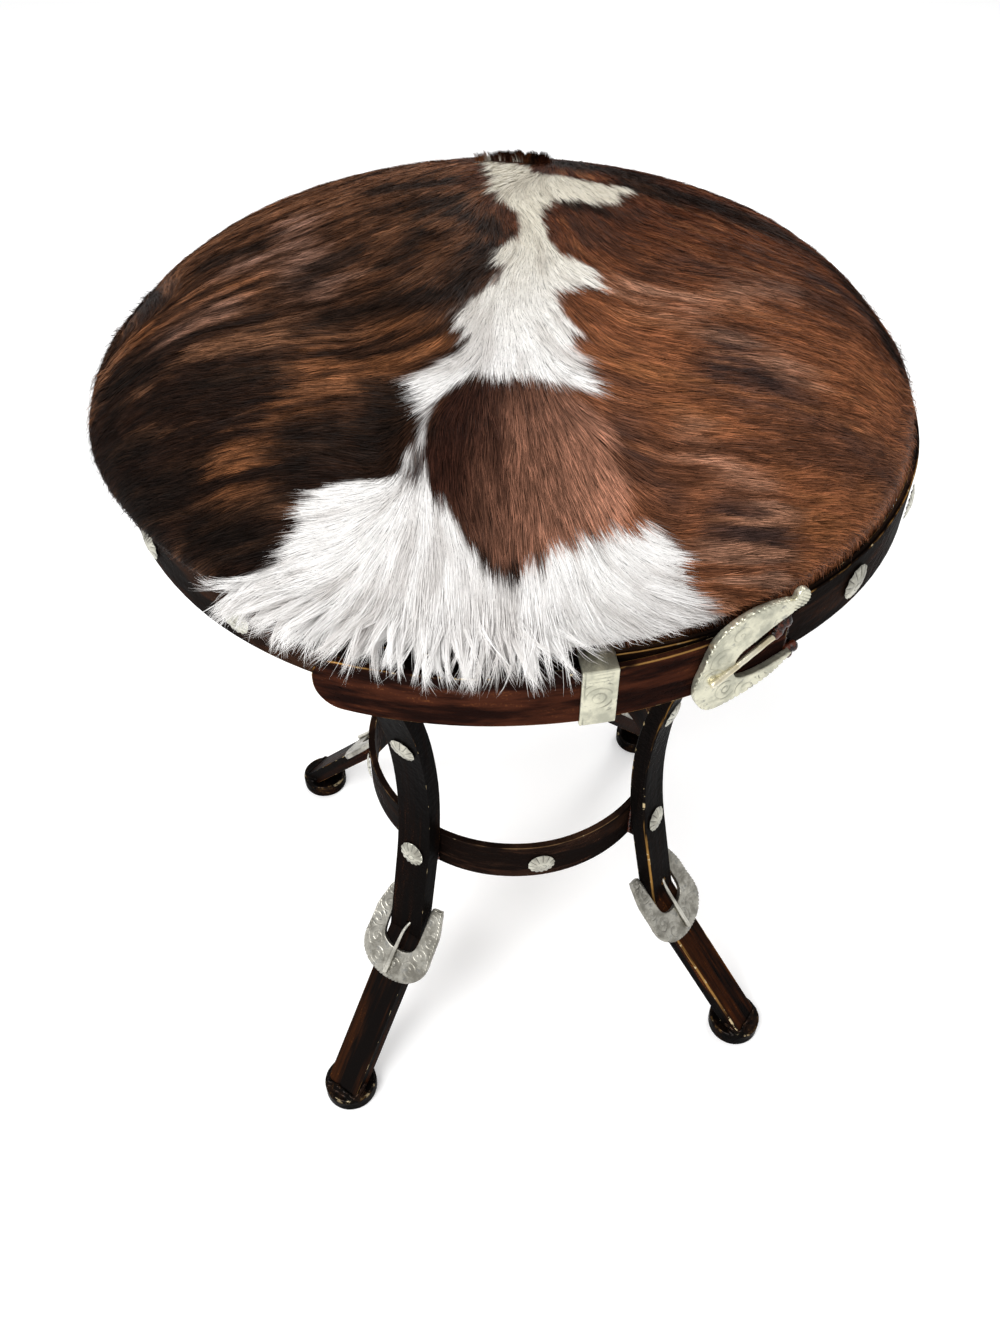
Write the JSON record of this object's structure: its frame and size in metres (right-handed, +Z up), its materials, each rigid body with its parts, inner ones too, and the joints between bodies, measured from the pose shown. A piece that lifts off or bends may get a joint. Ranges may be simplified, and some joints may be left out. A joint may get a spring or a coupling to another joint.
{
  "type": "footstool",
  "caption": "Round backless iron stool on splayed bent legs with a foot ring, belt-like apron with horseshoe buckles, and a padded hair-on hide seat.",
  "frame": {"origin": "on the floor, on the axis of the round seat", "axes": "+Z up, -Y towards the front, where the belt keeper and its buckle are"},
  "size_m": [0.4706, 0.4781, 0.625],
  "materials": {
    "iron": "dark brown hand-rubbed patina, half gloss, worn on the edges",
    "cast_silver": "antiqued cast silver, engraved, dark in the recesses",
    "prong_brass": "pale satin",
    "hide": "hair-on cowhide, brown and black brindle with white",
    "foam": "matt",
    "plywood": "raw"
  },
  "bodies": {
    "root": {"apron_band": "iron", "apron_buckle": "cast_silver", "apron_buckle_prong": "prong_brass", "apron_keeper": "cast_silver", "apron_strap": "iron", "band_concho_01": "cast_silver", "band_concho_02": "cast_silver", "band_concho_03": "cast_silver", "band_concho_04": "cast_silver", "band_concho_05": "cast_silver", "band_concho_06": "cast_silver", "band_concho_07": "cast_silver", "band_concho_08": "cast_silver", "band_concho_09": "cast_silver", "band_concho_10": "cast_silver", "band_concho_11": "cast_silver", "band_concho_12": "cast_silver", "band_concho_13": "cast_silver", "band_concho_14": "cast_silver", "band_concho_15": "cast_silver", "foot_back_left": "iron", "foot_back_right": "iron", "foot_front_left": "iron", "foot_front_right": "iron", "foot_ring": "iron", "leg_back_left": "iron", "leg_back_right": "iron", "leg_buckle_back_left": "cast_silver", "leg_buckle_back_right": "cast_silver", "leg_buckle_front_left": "cast_silver", "leg_buckle_front_right": "cast_silver", "leg_concho_back_left_lower": "cast_silver", "leg_concho_back_left_upper": "cast_silver", "leg_concho_back_right_lower": "cast_silver", "leg_concho_back_right_upper": "cast_silver", "leg_concho_front_left_lower": "cast_silver", "leg_concho_front_left_upper": "cast_silver", "leg_concho_front_right_lower": "cast_silver", "leg_concho_front_right_upper": "cast_silver", "leg_front_left": "iron", "leg_front_right": "iron", "leg_prong_back_left": "prong_brass", "leg_prong_back_right": "prong_brass", "leg_prong_front_left": "prong_brass", "leg_prong_front_right": "prong_brass", "ring_concho_back_left": "cast_silver", "ring_concho_back_right": "cast_silver", "ring_concho_front_left": "cast_silver", "ring_concho_front_right": "cast_silver", "seat_board": "plywood", "seat_cover": "hide", "seat_cross": "iron", "seat_foam": "foam"}
  },
  "joints": []
}
